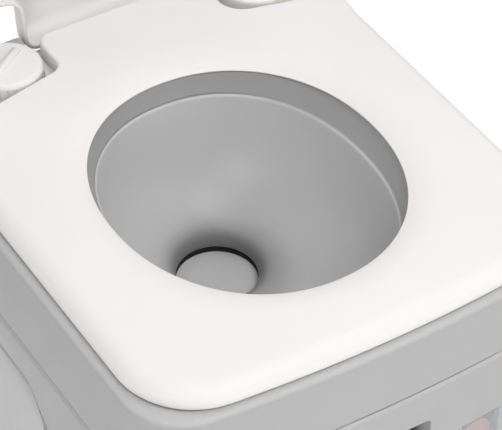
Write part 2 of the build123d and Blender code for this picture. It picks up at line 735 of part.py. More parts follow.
# ---------------------------------------------------------------- export
# Each piece is written under its function's name.
pieces = (
    waste_tank, latch_catches, feet, flush_tank, deck_cover,
    hinge_bracket, hinge_screws, hinge_pin, bowl, bowl_gasket,
    valve_base, valve_cover, valve_screws, valve_seal, valve_blade, valve_rod, valve_handle,
    filler_neck, filler_gasket, filler_cap,
    pump_housing, pump_bellows, pump_button, pump_spring, pump_valves,
    suction_tube, flush_hose, flush_nozzle,
    seat, seat_bumpers, lid, lid_bumpers, latch_left, latch_right, latch_pins,
    spout_elbow, spout_collar, spout_seal, spout_cap, spout_gasket,
    vent_body, vent_button, vent_spring, vent_seal,
    level_window, level_pivot, level_float, carry_handle, handle_pins,
)
for piece in pieces:
    made = piece()
    shapes = made if isinstance(made, list) else [made]
    solids = [solid for shape in shapes for solid in shape.solids()]
    result = Compound(children=solids) if len(solids) > 1 else solids[0]
    export_step(result, f"parts/{piece.__name__}.step")
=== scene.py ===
"""Portable toilet: tanks, bowl, seat and a lid standing open on its hinge.

X runs left to right, the front faces -Y, the hinge lies at the back (+Y) and the floor is z = 0.
Shapes are written in millimetres and built in metres; the stage, lights and camera are in metres.
"""
import json
import math

import bmesh
import bpy
import numpy as np
from mathutils import Matrix, Vector


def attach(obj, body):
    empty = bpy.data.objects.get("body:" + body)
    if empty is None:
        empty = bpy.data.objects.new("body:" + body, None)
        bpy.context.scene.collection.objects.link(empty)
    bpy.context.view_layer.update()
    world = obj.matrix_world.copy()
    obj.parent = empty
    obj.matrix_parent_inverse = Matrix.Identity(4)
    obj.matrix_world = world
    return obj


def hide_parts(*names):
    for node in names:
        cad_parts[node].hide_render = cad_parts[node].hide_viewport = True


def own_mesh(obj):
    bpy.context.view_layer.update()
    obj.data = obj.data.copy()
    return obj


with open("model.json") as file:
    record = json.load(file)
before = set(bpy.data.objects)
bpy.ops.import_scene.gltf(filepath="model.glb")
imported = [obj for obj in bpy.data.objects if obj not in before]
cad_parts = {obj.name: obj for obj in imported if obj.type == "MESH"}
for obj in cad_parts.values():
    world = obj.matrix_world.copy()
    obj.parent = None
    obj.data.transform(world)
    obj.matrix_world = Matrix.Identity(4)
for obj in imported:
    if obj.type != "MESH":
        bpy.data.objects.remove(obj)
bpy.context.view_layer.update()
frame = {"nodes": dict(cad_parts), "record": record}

MM = 0.001
parts = frame["nodes"]

# Seat outline, shared by the lid
SEAT_HALF_WIDTH = 165.0
SEAT_FRONT = -195.2
FRONT_BOW = 11.5            # how far the front edge bulges
FRONT_CORNER_RADIUS = 55.0
SEAT_BACK = 176.2
TONGUE_LEFT, TONGUE_RIGHT = -54.0, 82.0
OUTLINE_POINTS = 720

# Seat hole, a superellipse
HOLE_HALF_WIDTH, HOLE_HALF_LENGTH = 103.2, 114.2
HOLE_Y = -23.7
HOLE_POWER = 2.1
HOLE_CENTRE = np.array([0.0, HOLE_Y])

# Lid hinge
HINGE_Y, HINGE_Z = 172.0, 380.0
HINGE_RADIUS = 5.1
LID_TURN = math.radians(-100.0)


# ------------------------------------------------------------------ shader nodes
def set_inputs(tree, node, inputs):
    """Link each input given as a socket and set each one given as a value."""
    for key, value in inputs.items():
        if isinstance(value, bpy.types.NodeSocket):
            tree.links.new(value, node.inputs[key])
        else:
            node.inputs[key].default_value = value


def add_node(tree, kind, inputs, **settings):
    node = tree.nodes.new("ShaderNode" + kind)
    for key, value in settings.items():
        setattr(node, key, value)
    set_inputs(tree, node, inputs)
    return node


def calculate(tree, operation, first, second, clamp=False):
    node = add_node(tree, "Math", {0: first, 1: second}, operation=operation, use_clamp=clamp)
    return node.outputs[0]


def map_range(tree, value, source, target, curve="LINEAR"):
    inputs = {"Value": value, "From Min": source[0], "From Max": source[1],
              "To Min": target[0], "To Max": target[1]}
    return add_node(tree, "MapRange", inputs, interpolation_type=curve).outputs["Result"]


def noise(tree, vector, scale, detail, roughness=0.5):
    inputs = {"Vector": vector, "Scale": scale, "Detail": detail, "Roughness": roughness}
    return add_node(tree, "TexNoise", inputs).outputs["Fac"]


def linear_colour(rgb):
    """0-255 sRGB to linear."""
    shares = [c / 255.0 for c in rgb]
    return tuple(s / 12.92 if s <= 0.04045 else ((s + 0.055) / 1.055) ** 2.4 for s in shares)


# ------------------------------------------------------------------ materials
NOISE_MIDDLE = (0.3, 0.7)   # the part of the noise range that is spread out


def colour_factor(tree, place, tint, grain_scale, height_painted_light, facing_painted_light):
    """Brightness factor: slow drift and fine speckle, then painted shade and light by height and by
    slope.
    """
    drift = map_range(tree, noise(tree, place, scale=7.0, detail=4.0),
                      NOISE_MIDDLE, (1.0 - tint, 1.0 + tint))
    speckle = map_range(tree, noise(tree, place, scale=grain_scale * 0.55, detail=2.0),
                        NOISE_MIDDLE, (1.0 - tint * 0.6, 1.0 + tint * 0.6))
    factor = calculate(tree, "MULTIPLY", drift, speckle)
    # painted shade and highlight by height
    for z_low, z_high, shade_low, shade_high in height_painted_light:
        height = add_node(tree, "SeparateXYZ", {0: place}).outputs["Z"]
        shade = map_range(tree, height, (z_low * MM, z_high * MM), (shade_low, shade_high),
                          "SMOOTHSTEP")
        factor = calculate(tree, "MULTIPLY", factor, shade)
    # painted light by slope: faces that look up lighter, walls darker
    if facing_painted_light:
        normal = add_node(tree, "NewGeometry", {}).outputs["Normal"]
        upward = add_node(tree, "SeparateXYZ", {0: normal}).outputs["Z"]
        shade = map_range(tree, upward, (0.45, 0.9), facing_painted_light, "SMOOTHSTEP")
        factor = calculate(tree, "MULTIPLY", factor, shade)
    return factor


def surface_roughness(tree, place, rough, scuff, streak):
    """Drifting roughness, with long faint scuffs stretched by streak."""
    result = map_range(tree, noise(tree, place, scale=38.0, detail=5.0),
                       NOISE_MIDDLE, (rough * 0.9, rough * 1.12))
    if scuff:
        stretched = add_node(tree, "Mapping", {"Vector": place, "Scale": streak})
        marks = noise(tree, stretched.outputs["Vector"], scale=60.0, detail=6.0, roughness=0.7)
        marks = map_range(tree, marks, (0.62, 0.74), (0.0, scuff))
        result = calculate(tree, "ADD", result, marks, clamp=True)
    return result


def surface_normal(tree, place, grain, grain_scale, wave):
    """Slow moulding waviness under a fine grain."""
    waves = add_node(tree, "Bump", {"Strength": wave, "Distance": 0.004,
                                    "Height": noise(tree, place, scale=11.0, detail=2.0)})
    grains = add_node(tree, "Bump", {"Strength": grain, "Distance": 0.0006,
                                     "Height": noise(tree, place, scale=grain_scale, detail=2.0),
                                     "Normal": waves.outputs["Normal"]})
    return grains.outputs["Normal"]


def moulded(name, rgb, rough, grain, grain_scale, wave, tint, coat=0.0, spec=0.5, sss=0.0,
            scuff=0.0, metallic=0.0, alpha=1.0, streak=(1.0, 6.0, 1.0), height_painted_light=(),
            facing_painted_light=()):
    """Moulded plastic, rubber or metal.

    height_painted_light: painted shade and light by height, rows of z low, z high (mm), factor
    below, factor above.
    facing_painted_light: painted light by slope, factor on walls, factor on faces that look up.
    """
    material = bpy.data.materials.new(name)
    material.use_nodes = True
    tree = material.node_tree
    place = add_node(tree, "TexCoord", {}).outputs["Object"]
    factor = colour_factor(tree, place, tint, grain_scale, height_painted_light, facing_painted_light)
    colour = add_node(tree, "VectorMath", {0: linear_colour(rgb), "Scale": factor},
                      operation="SCALE")
    inputs = {
        "Metallic": metallic,
        "Specular IOR Level": spec,
        "Coat Weight": coat,
        "Coat Roughness": 0.12,
        "Base Color": colour.outputs["Vector"],
        "Roughness": surface_roughness(tree, place, rough, scuff, streak),
        "Normal": surface_normal(tree, place, grain, grain_scale, wave),
    }
    if sss:
        inputs["Subsurface Weight"] = sss
        inputs["Subsurface Radius"] = (0.004, 0.0035, 0.003)
        inputs["Subsurface Scale"] = 1.0
    if alpha < 1.0:
        inputs["Alpha"] = alpha
    set_inputs(tree, tree.nodes["Principled BSDF"], inputs)
    material.diffuse_color = (*linear_colour(rgb), alpha)
    return material


# Painted light on the bowl by height: painted shade on the band under the rim where the seat shades
# it, painted shade in the steep throat, and a painted highlight on the bottom edge of the outlet.
BOWL_PAINTED_LIGHT = (
    (371.2, 373.0, 1.0, 0.68),   # darker band under the rim
    (273.0, 295.0, 0.40, 1.0),   # dark throat
    (271.3, 272.0, 2.2, 1.0),    # lighter bottom edge
)

# slot, material name, sRGB, roughness, grain strength, grain scale, waviness, tint drift, extras
MATERIALS = (
    # shell_grey: painted light by slope, faces that look up lighter than the walls
    ("shell_grey", "shell_grey_plastic", (173, 173, 173), 0.5, 0.16, 1150, 0.05, 0.018,
     dict(scuff=0.08, spec=0.4, facing_painted_light=(0.90, 1.09))),
    ("bowl_grey", "bowl_grey_plastic", (184, 184, 184), 0.44, 0.03, 900, 0.03, 0.010,
     dict(coat=0.04, height_painted_light=BOWL_PAINTED_LIGHT)),
    ("seat_white", "seat_white_plastic", (224, 222, 221), 0.5, 0.05, 1000, 0.02, 0.006,
     dict(sss=0.06, scuff=0.05, spec=0.3)),
    ("lid_white", "lid_white_plastic", (218, 215, 215), 0.45, 0.04, 1000, 0.03, 0.006,
     dict(coat=0.02, sss=0.06, scuff=0.05)),
    ("cap_cream", "cap_cream_plastic", (226, 224, 219), 0.34, 0.03, 900, 0.02, 0.010,
     dict(coat=0.1, sss=0.06)),
    ("latch_grey", "latch_grey_plastic", (178, 178, 178), 0.42, 0.12, 1100, 0.03, 0.015,
     dict(scuff=0.08)),
    ("mechanism_grey", "mechanism_grey_plastic", (128, 130, 132), 0.5, 0.12, 1000, 0.03, 0.03, {}),
    ("blade_grey", "blade_grey_plastic", (196, 196, 196), 0.42, 0.05, 700, 0.06, 0.02,
     dict(scuff=0.10)),
    ("handle_dark", "handle_dark_plastic", (62, 64, 67), 0.48, 0.3, 800, 0.03, 0.05,
     dict(scuff=0.12)),
    ("seal_rubber", "seal_rubber_black", (9, 9, 8), 0.75, 0.25, 700, 0.03, 0.10, {}),
    ("foot_rubber", "foot_rubber_black", (34, 34, 35), 0.7, 0.45, 600, 0.03, 0.10, {}),
    ("bellows_rubber", "bellows_rubber_black", (44, 44, 46), 0.6, 0.3, 700, 0.03, 0.10, {}),
    ("bumper_grey", "bumper_grey_rubber", (176, 176, 174), 0.6, 0.2, 700, 0.03, 0.04, {}),
    ("tube_clear", "tube_milky", (214, 218, 218), 0.28, 0.05, 500, 0.03, 0.02, dict(alpha=0.75)),
    ("steel", "steel_brushed", (172, 172, 174), 0.32, 0.25, 900, 0.02, 0.05,
     dict(metallic=1.0, scuff=0.1, streak=(1.0, 40.0, 1.0))),
    ("spring_steel", "spring_wire", (140, 140, 144), 0.30, 0.15, 900, 0.02, 0.05,
     dict(metallic=1.0)),
    ("window_clear", "window_clear", (196, 206, 210), 0.12, 0.02, 600, 0.02, 0.02,
     dict(alpha=0.35)),
    ("float_orange", "float_orange_plastic", (214, 98, 34), 0.35, 0.08, 800, 0.02, 0.03, {}),
)
materials = {slot: moulded(*values, **extras) for slot, *values, extras in MATERIALS}
slot_of = {row["node"]: row["material_slot"] for row in frame["record"]["subparts"]}
for part_name, part in parts.items():
    part.data.materials.clear()
    part.data.materials.append(materials[slot_of[part_name]])


# ------------------------------------------------------------------ mesh helpers
def add_object(name, data):
    obj = bpy.data.objects.new(name, data)
    bpy.context.scene.collection.objects.link(obj)
    return obj


def shade_smooth(mesh):
    for face in mesh.polygons:
        face.use_smooth = True


def mesh_object(name, vertices, faces, slot, body):
    mesh = bpy.data.meshes.new(name)
    mesh.from_pydata([tuple(v) for v in vertices], [], faces)
    mesh.validate()
    bm = bmesh.new()
    bm.from_mesh(mesh)
    bmesh.ops.remove_doubles(bm, verts=bm.verts, dist=1e-6)
    bmesh.ops.recalc_face_normals(bm, faces=bm.faces)
    bm.to_mesh(mesh)
    bm.free()
    shade_smooth(mesh)
    obj = add_object(name, mesh)
    mesh.materials.append(materials[slot])
    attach(obj, body)
    return obj


def extrude_along_x(name, profile, x_start, x_end, slot, edge):
    """A Y-Z profile (mm) carried along X, with its edges softened."""
    bm = bmesh.new()
    start, end = [[bm.verts.new((x * MM, y * MM, z * MM)) for y, z in profile]
                  for x in (x_start, x_end)]
    bm.faces.new(start)
    bm.faces.new(end[::-1])
    for i in range(len(profile)):
        j = (i + 1) % len(profile)
        bm.faces.new((start[i], end[i], end[j], start[j]))
    bmesh.ops.recalc_face_normals(bm, faces=bm.faces)
    mesh = bpy.data.meshes.new(name)
    bm.to_mesh(mesh)
    bm.free()
    obj = add_object(name, mesh)
    mesh.materials.append(materials[slot])
    bevel = obj.modifiers.new("soft", "BEVEL")
    bevel.width = edge * MM
    bevel.segments = 3
    bevel.limit_method = "ANGLE"
    bevel.angle_limit = math.radians(35)
    shade_smooth(mesh)
    obj.modifiers.new("wn", "WEIGHTED_NORMAL")
    return obj


def ring_at(points, z):
    """Plan points lifted to z, which may be one height or one per point."""
    return np.c_[points, np.full(len(points), z)]


def join_rings(rings, close_last=False, loop=False):
    """Skin rings (mm) in turn; returns vertices (m) and faces."""
    rings = [ring * MM for ring in rings]
    size, count = len(rings[0]), len(rings)
    vertices = np.concatenate(rings)
    faces = []
    for i in range(count if loop else count - 1):
        a, b = i * size, ((i + 1) % count) * size
        for j in range(size):
            k = (j + 1) % size
            faces.append((a + j, a + k, b + k, b + j))
    if close_last:
        middle = len(vertices)
        vertices = np.vstack([vertices, rings[-1].mean(0)])
        a = (count - 1) * size
        faces += [(middle, a + j, a + (j + 1) % size) for j in range(size)]
    return vertices, faces


# ------------------------------------------------------------------ plan curves
def smoothstep(x):
    x = np.clip(x, 0, 1)
    return x * x * (3 - 2 * x)


def arc(centre, radius, start, end, steps):
    angles = [start + (end - start) * i / steps for i in range(steps + 1)]
    return [(centre[0] + radius * math.cos(angle), centre[1] + radius * math.sin(angle))
            for angle in angles]


def fillet(before, corner, after, radius, steps):
    before, corner, after = map(np.array, (before, corner, after))
    to_before = (before - corner) / np.linalg.norm(before - corner)
    to_after = (after - corner) / np.linalg.norm(after - corner)
    half = math.acos(np.clip(to_before @ to_after, -1, 1)) / 2
    reach = radius / math.tan(half)
    bisector = (to_before + to_after) / np.linalg.norm(to_before + to_after)
    centre = corner + bisector * radius / math.sin(half)
    start, end = [math.atan2(*(corner + way * reach - centre)[::-1])
                  for way in (to_before, to_after)]
    turn = (end - start + math.pi) % (2 * math.pi) - math.pi
    return arc(centre, radius, start, start + turn, steps)


# Corners of the back half from right to left: x, y, fillet radius, fillet steps
BACK_CORNERS = (
    (SEAT_HALF_WIDTH, 109.4, 16, 14),
    (TONGUE_RIGHT, 129.5, 20, 16),
    (TONGUE_RIGHT, SEAT_BACK, 14, 16),
    (TONGUE_LEFT, SEAT_BACK, 11, 16),
    (TONGUE_LEFT, 136.2, 11, 16),
    (-SEAT_HALF_WIDTH, 110.9, 16, 14),
)


def seat_outline():
    """Closed outline, counter-clockwise from the left side, evenly spaced at about 2 mm."""
    # bowed front edge between two corner arcs that touch it
    bow_radius = (SEAT_HALF_WIDTH ** 2 + FRONT_BOW ** 2) / (2 * FRONT_BOW)
    bow_y = SEAT_FRONT + bow_radius
    corner_x = SEAT_HALF_WIDTH - FRONT_CORNER_RADIUS
    corner_y = bow_y - math.sqrt((bow_radius - FRONT_CORNER_RADIUS) ** 2 - corner_x ** 2)
    meet_left = math.atan2(corner_y - bow_y, -corner_x)
    meet_right = -math.pi - meet_left
    points = arc((-corner_x, corner_y), FRONT_CORNER_RADIUS,
                 math.pi, meet_left + 2 * math.pi, 24)
    points += arc((0.0, bow_y), bow_radius, meet_left, meet_right, 30)[1:-1]
    points += arc((corner_x, corner_y), FRONT_CORNER_RADIUS, meet_right, 0.0, 24)

    path = [(SEAT_HALF_WIDTH, 0), *[row[:2] for row in BACK_CORNERS], (-SEAT_HALF_WIDTH, 0)]
    for i, (*corner, radius, steps) in enumerate(BACK_CORNERS):
        points += fillet(path[i], corner, path[i + 2], radius, steps)

    closed = np.array(points + points[:1])
    length = np.r_[0, np.cumsum(np.hypot(*np.diff(closed, axis=0).T))]
    keep = np.r_[True, np.diff(length) > 1e-6]
    stations = np.linspace(0, length[-1], OUTLINE_POINTS, endpoint=False)
    return np.c_[np.interp(stations, length[keep], closed[keep, 0]),
                 np.interp(stations, length[keep], closed[keep, 1])]


def distance_to(points, outline):
    """Distance of each point to the closed outline, worked in batches to save memory."""
    side = np.roll(outline, -1, 0) - outline
    result = np.full(len(points), 1e9)
    batch = 4000
    for first in range(0, len(points), batch):
        away = points[first:first + batch, None, :]
        share = np.clip(((away - outline) * side).sum(2) / (side ** 2).sum(1), 0, 1)
        gap = away - (outline + share[..., None] * side)
        result[first:first + batch] = np.hypot(*np.moveaxis(gap, 2, 0)).min(1)
    return result


def inset_rings(outline, depths):
    """Walk from each outline point towards the hole centre until it lies each depth inside."""
    inward = HOLE_CENTRE - outline
    inward = inward / np.hypot(*inward.T)[:, None]
    walk = np.r_[np.linspace(0, 30, 70), np.linspace(31, 75, 30)]
    points = outline[:, None, :] + inward[:, None, :] * walk[None, :, None]
    reached = distance_to(points.reshape(-1, 2), outline[::2]).reshape(len(outline), len(walk))
    reached[:, 0] = 0
    reached = np.maximum.accumulate(reached, axis=1)
    reached = reached + np.arange(len(walk)) * 1e-9   # strictly rising, for interpolation
    rings = []
    for depth in depths:
        wanted = np.broadcast_to(np.asarray(depth, float), (len(outline),))
        steps = np.array([np.interp(w, r, walk) for w, r in zip(wanted, reached)])
        rings.append(outline + inward * steps[:, None])
    return rings


def superoval(half_width, half_length, power, centre_y, angles):
    c, s = np.cos(angles), np.sin(angles)
    radius = 1.0 / ((np.abs(c) / half_width) ** power
                    + (np.abs(s) / half_length) ** power) ** (1 / power)
    return np.c_[radius * c, centre_y + radius * s]


# ------------------------------------------------------------------ seat
SEAT_BOTTOM, SEAT_TOP = 385.4, 398.0
HOLE_EDGE_Z = 392.8
HOLE_SLOPE_WIDTH = 36.0     # the top dips towards the hole over this width
UNDERSIDE_Z = 389.75
LIP_RADIUS = 0.7


def seat_edge_radius(outline):
    """Top rounding: wide at the front and left, less on the right, tight at the back."""
    along = np.roll(outline, -1, 0) - np.roll(outline, 1, 0)
    normal = np.c_[along[:, 1], -along[:, 0]] / np.hypot(*along.T)[:, None]
    back = smoothstep((normal[:, 1] - 0.1) / 0.6)
    radius = 13.0 * (1 - back) + 1.5 * back
    radius = radius - 3.5 * smoothstep((normal[:, 0] - 0.3) / 0.6)
    x, y = outline.T
    radius[(y > 126) & (x > -60) & (x < 92)] = 2.4     # tongue
    reach = 9                                          # running average, points each side
    padded = np.r_[radius[-reach:], radius, radius[:reach]]
    window = 2 * reach + 1
    return np.convolve(padded, np.ones(window) / window, "valid")


def build_seat():
    outline = seat_outline()
    angles = np.arctan2(outline[:, 1] - HOLE_Y, outline[:, 0])
    hole = superoval(HOLE_HALF_WIDTH, HOLE_HALF_LENGTH, HOLE_POWER, HOLE_Y, angles)

    def dip(points):
        gap = np.hypot(*(points - hole).T)
        return (SEAT_TOP - HOLE_EDGE_Z) * (1 - np.clip(gap / HOLE_SLOPE_WIDTH, 0, 1)) ** 3

    # underside of the outer edge
    foot, foot_inner = inset_rings(outline, [1.0, 3.4])
    rings = [
        ring_at(foot_inner, SEAT_BOTTOM + 5.0),
        ring_at(foot_inner, SEAT_BOTTOM + 0.3),
        ring_at(foot, SEAT_BOTTOM),
        ring_at(outline * 0.7 + foot * 0.3, SEAT_BOTTOM + 0.3),
        ring_at(outline, SEAT_BOTTOM + 1.0),
    ]
    # rounded outer edge
    radius = seat_edge_radius(outline)
    rise = np.minimum(radius, 11.2)
    turns = np.linspace(0, math.pi / 2, 11)
    rounding = inset_rings(outline, [radius * (1 - math.cos(turn)) for turn in turns])
    for turn, points in zip(turns, rounding):
        z = SEAT_TOP - rise + rise * math.sin(turn)
        share = (z - SEAT_BOTTOM) / (SEAT_TOP - SEAT_BOTTOM)
        rings.append(ring_at(points, z - dip(points) * share))
    # top face, very slightly hollow
    top_steps = 26
    for i in range(1, top_steps):
        share = i / top_steps
        points = rounding[-1] * (1 - share) + hole * share
        rings.append(ring_at(points, SEAT_TOP - 0.06 * math.sin(math.pi * share) - dip(points)))
    # crisp lip round the hole, undercut below
    outward = (hole - HOLE_CENTRE) / np.hypot(*(hole - HOLE_CENTRE).T)[:, None]
    for turn in np.linspace(0.1, 0.72 * math.pi, 8):
        rings.append(ring_at(hole + outward * (LIP_RADIUS - LIP_RADIUS * math.sin(turn)),
                             HOLE_EDGE_Z - LIP_RADIUS + LIP_RADIUS * math.cos(turn)))
    # underside with a rib round the hole: distance out from the hole, z
    for out, z in (
        (3.3, UNDERSIDE_Z + 0.1), (4.6, UNDERSIDE_Z + 0.2), (10.5, UNDERSIDE_Z + 0.9),
        (10.6, SEAT_BOTTOM), (13.4, SEAT_BOTTOM), (13.5, UNDERSIDE_Z + 2.0),
    ):
        rings.append(ring_at(hole + outward * out, z))
    rings.append(ring_at(hole * 0.4 + foot_inner * 0.6, SEAT_BOTTOM + 5.0))
    seat = mesh_object("seat_shell", *join_rings(rings, loop=True), "seat_white", "seat")
    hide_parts("seat")


def hinge_arc(start, end, steps):
    return arc((HINGE_Y, HINGE_Z), HINGE_RADIUS, math.radians(start), math.radians(end), steps)


def build_seat_knuckles():
    top = 391
    profile = [(HINGE_Y + 0.6, top), *hinge_arc(83, -180, 30), (HINGE_Y - HINGE_RADIUS, top)]
    spans = ((-33.5, -22), (-0.5, 10), (18, 28.5), (50, 61.5))
    for i, (left, right) in enumerate(spans, 1):
        knuckle = extrude_along_x(f"seat_knuckle_{i}", profile, left, right, "seat_white", edge=0.4)
        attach(knuckle, "seat")


build_seat()
build_seat_knuckles()

# ------------------------------------------------------------------ lid: made shut, then opened
LID_BOTTOM, LID_TOP = 399.0, 423.0
LID_THICKNESS = 3.2
LID_EDGE_RADIUS = 15.0
LID_EDGE_START = 8          # height of the upright rim below the rounding
LID_INNER_RADIUS = 11.0
LID_RIM_WIDTH = 3.0
LID_TONGUE_RIGHT = 79.5     # a little narrower than the seat's behind the hinge

hinge_point = Vector((0, HINGE_Y * MM, HINGE_Z * MM))
OPEN_LID = (Matrix.Translation(hinge_point) @ Matrix.Rotation(LID_TURN, 4, "X")
            @ Matrix.Translation(-hinge_point))


def crowned_plate(edge, z, rise):
    """Rings that close in on the hole centre while they rise gently."""
    return [ring_at(edge * (1 - share) + HOLE_CENTRE * share, z + rise * (1 - (1 - share) ** 2))
            for share in np.linspace(0.12, 0.985, 16)]


def build_lid():
    outline = seat_outline()
    x, y = outline.T
    tongue = (y > 150) & (x > 60)
    widening = (TONGUE_RIGHT - LID_TONGUE_RIGHT) * np.clip((160 - y[tongue]) / 10, 0, 1)
    outline[tongue, 0] = np.minimum(x[tongue], LID_TONGUE_RIGHT + widening)

    rim_outer, rim_inner, rim_wall = inset_rings(outline, [0.6, 2.4, LID_RIM_WIDTH])
    # outer face
    outside = [ring_at(rim_inner, LID_BOTTOM + 0.1), ring_at(rim_outer, LID_BOTTOM),
               ring_at(outline, LID_BOTTOM + 0.7)]
    turns = np.linspace(0, math.pi / 2, 12)
    rounding = inset_rings(outline, [LID_EDGE_RADIUS * (1 - math.cos(turn)) for turn in turns])
    start = LID_BOTTOM + LID_EDGE_START
    outside += [ring_at(points, start + (LID_TOP - start) * math.sin(turn))
                for turn, points in zip(turns, rounding)]
    outside += crowned_plate(rounding[-1], LID_TOP, rise=1.2)

    # inner face: wall, wide fillet, slightly crowned plate
    inside = [ring_at(rim_wall, LID_BOTTOM + 0.8)]
    turns = np.linspace(0, math.pi / 2, 10)
    rounding = inset_rings(outline, [LID_RIM_WIDTH + LID_INNER_RADIUS * (1 - math.cos(turn))
                                     for turn in turns])
    ceiling = LID_TOP - LID_THICKNESS
    inside += [ring_at(points, ceiling - LID_INNER_RADIUS + LID_INNER_RADIUS * math.sin(turn))
               for turn, points in zip(turns, rounding)]
    inside += crowned_plate(rounding[-1], ceiling, rise=0.9)

    outer_vertices, faces = join_rings(outside, close_last=True)
    inner_vertices, inner_faces = join_rings(inside, close_last=True)
    offset = len(outer_vertices)
    faces += [tuple(offset + i for i in face) for face in inner_faces]
    # bottom of the rim, between the two faces
    for j in range(len(outline)):
        k = (j + 1) % len(outline)
        faces.append((j, k, offset + k, offset + j))
    vertices = [OPEN_LID @ Vector(v) for v in np.vstack([outer_vertices, inner_vertices])]
    lid = mesh_object("lid_shell", vertices, faces, "lid_white", "lid")
    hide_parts("lid")


def build_lid_arms():
    profile = hinge_arc(50, 290, 26) + [
        (HINGE_Y + 6.0, HINGE_Z - 5.0), (HINGE_Y + 9.0, HINGE_Z - 4.2),
        (HINGE_Y + 10.0, HINGE_Z - 2.0), (HINGE_Y + 10.0, 404), (HINGE_Y + 8.5, 409),
        (SEAT_BACK - 2.6, 411.5), (SEAT_BACK - 2.6, 400.0),
        (HINGE_Y + 5.6, 399.6), (HINGE_Y + 5.6, HINGE_Z + 5),
    ]
    for i, (left, right) in enumerate(((-21.5, -1.0), (29, 49.5)), 1):
        arm = extrude_along_x(f"lid_arm_{i}", profile, left, right, "lid_white", edge=0.5)
        arm.data.transform(OPEN_LID)
        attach(arm, "lid")


build_lid()
build_lid_arms()


# ------------------------------------------------------------------ trim ring round the filler cap
def build_filler_trim():
    centre_x, centre_y = -86.0, 158.5
    inner, outer = 26.9, 36.5
    bottom, top = 384.05, 385.15
    # radius, z
    profile = [(inner, bottom), (inner, top - 0.5), (inner + 0.15, top - 0.15), (inner + 0.5, top)]
    profile += [(inner + (outer - inner) * share, top) for share in (0.3, 0.6, 0.85)]
    profile += [(outer - 0.5, top), (outer - 0.15, top - 0.15), (outer, top - 0.45),
                (outer, bottom)]
    angles = np.linspace(0, 2 * math.pi, 160, endpoint=False)
    rings = [ring_at(np.c_[centre_x + radius * np.cos(angles),
                           centre_y + radius * np.sin(angles)], z) for radius, z in profile]
    mesh_object("filler_trim", *join_rings(rings, loop=True), "seat_white", "body")


build_filler_trim()

# ------------------------------------------------------------------ bowl
# Columns of every bowl table: z, half width, half length, superellipse power, centre y
BOWL_RIM = [
    (388.2, 106.6, 117.6, 2.1, HOLE_Y), (389.3, 106.4, 117.4, 2.1, HOLE_Y),
    (389.6, 105.7, 116.8, 2.1, HOLE_Y), (389.3, 105.0, 116.2, 2.1, HOLE_Y),
]
BAND_STEPS = 12
BAND_CHANGE = np.array([-16.9, -9.2, -1.5, 0.06, -0.9])   # from the rim to the band's lower edge
BOWL_STEP = [
    (372.2, 96.4, 115.3, 2.16, -24.6), (371.8, 96.6, 115.5, 2.16, -24.6),
    (371.5, 96.0, 115.1, 2.17, -24.6), (371.42, 95.2, 114.7, 2.17, -24.7),
    (371.2, 94.5, 114.2, 2.18, -24.7), (370.6, 93.9, 113.7, 2.18, -24.7),
]
BOWL_SECTIONS = np.array([
    (370.6, 93.9, 113.7, 2.18, -24.7), (358, 92.4, 111.8, 2.16, -24.4),
    (340, 88.6, 107.6, 2.13, -23.5), (322, 80.8, 98.8, 2.08, -21.2),
    (306, 67.5, 80.5, 2.04, -15.0), (296, 54.5, 62.5, 2.0, -8.0),
    (288, 42.0, 45.5, 2.0, 1.5), (281.5, 33.6, 34.6, 2.0, 8.6),
    (276, 30.9, 31.0, 2.0, 10.6), (271.2, 29.8, 29.8, 2.0, 10.9),
])
BOWL_MOUTH = [(271.0, 30.2, 30.2, 2.0, 10.9), (271.0, 32.4, 32.4, 2.0, 10.9)]
OUTSIDE_OFFSET = np.array([-1.6, 2.8, 2.8, 0, 0])         # from the inner to the outer face
BOWL_FLANGE = [
    (369.0, 106.4, 117.4, 2.1, HOLE_Y), (375.6, 106.6, 117.6, 2.1, HOLE_Y),
    (375.7, 118.0, 129.0, 2.1, HOLE_Y), (378.7, 118.0, 129.0, 2.1, HOLE_Y),
    (378.8, 106.6, 117.6, 2.1, HOLE_Y),
]


def smooth_sections(sections, count):
    """Cubic Hermite curve through the sections, without its first point."""
    knots = np.r_[0, np.cumsum(np.hypot(*np.diff(sections[:, :2], axis=0).T))]
    slope = np.gradient(sections, knots, axis=0)
    places = np.linspace(0, knots[-1], count)[1:]
    i = np.clip(np.searchsorted(knots, places) - 1, 0, len(knots) - 2)
    span = (knots[i + 1] - knots[i])[:, None]
    s = (places - knots[i])[:, None] / span
    return ((2 * s**3 - 3 * s**2 + 1) * sections[i] + (s**3 - 2 * s**2 + s) * span * slope[i]
            + (-2 * s**3 + 3 * s**2) * sections[i + 1] + (s**3 - s**2) * span * slope[i + 1])


def build_bowl():
    angles = np.linspace(0, 2 * math.pi, 256, endpoint=False)
    profile = BOWL_RIM + [np.array(BOWL_RIM[-1]) + BAND_CHANGE * (k / BAND_STEPS)
                          for k in range(1, BAND_STEPS + 1)]
    step_start = len(profile) - 1
    step_end = step_start + len(BOWL_STEP)
    inner = smooth_sections(BOWL_SECTIONS, 64)
    outer = inner[::-1][4::4] + OUTSIDE_OFFSET
    profile += [*BOWL_STEP, *inner, *BOWL_MOUTH, *outer, *BOWL_FLANGE]
    rings = [ring_at(superoval(*shape, angles), z) for z, *shape in profile]

    # the fine step under the band is full at the back left and fades towards the right
    strength = smoothstep((np.cos(angles - math.radians(140.0)) + 0.15) / 0.8)
    strength = (0.12 + 0.88 * strength)[:, None]
    for i in range(step_start + 1, step_end):
        share = (i - step_start) / (step_end - step_start)
        plain = rings[step_start] * (1 - share) + rings[step_end] * share
        rings[i] = rings[i] * strength + plain * (1 - strength)
    bowl = mesh_object("bowl_shell", *join_rings(rings, loop=True), "bowl_grey", "body")
    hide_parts("bowl")


build_bowl()

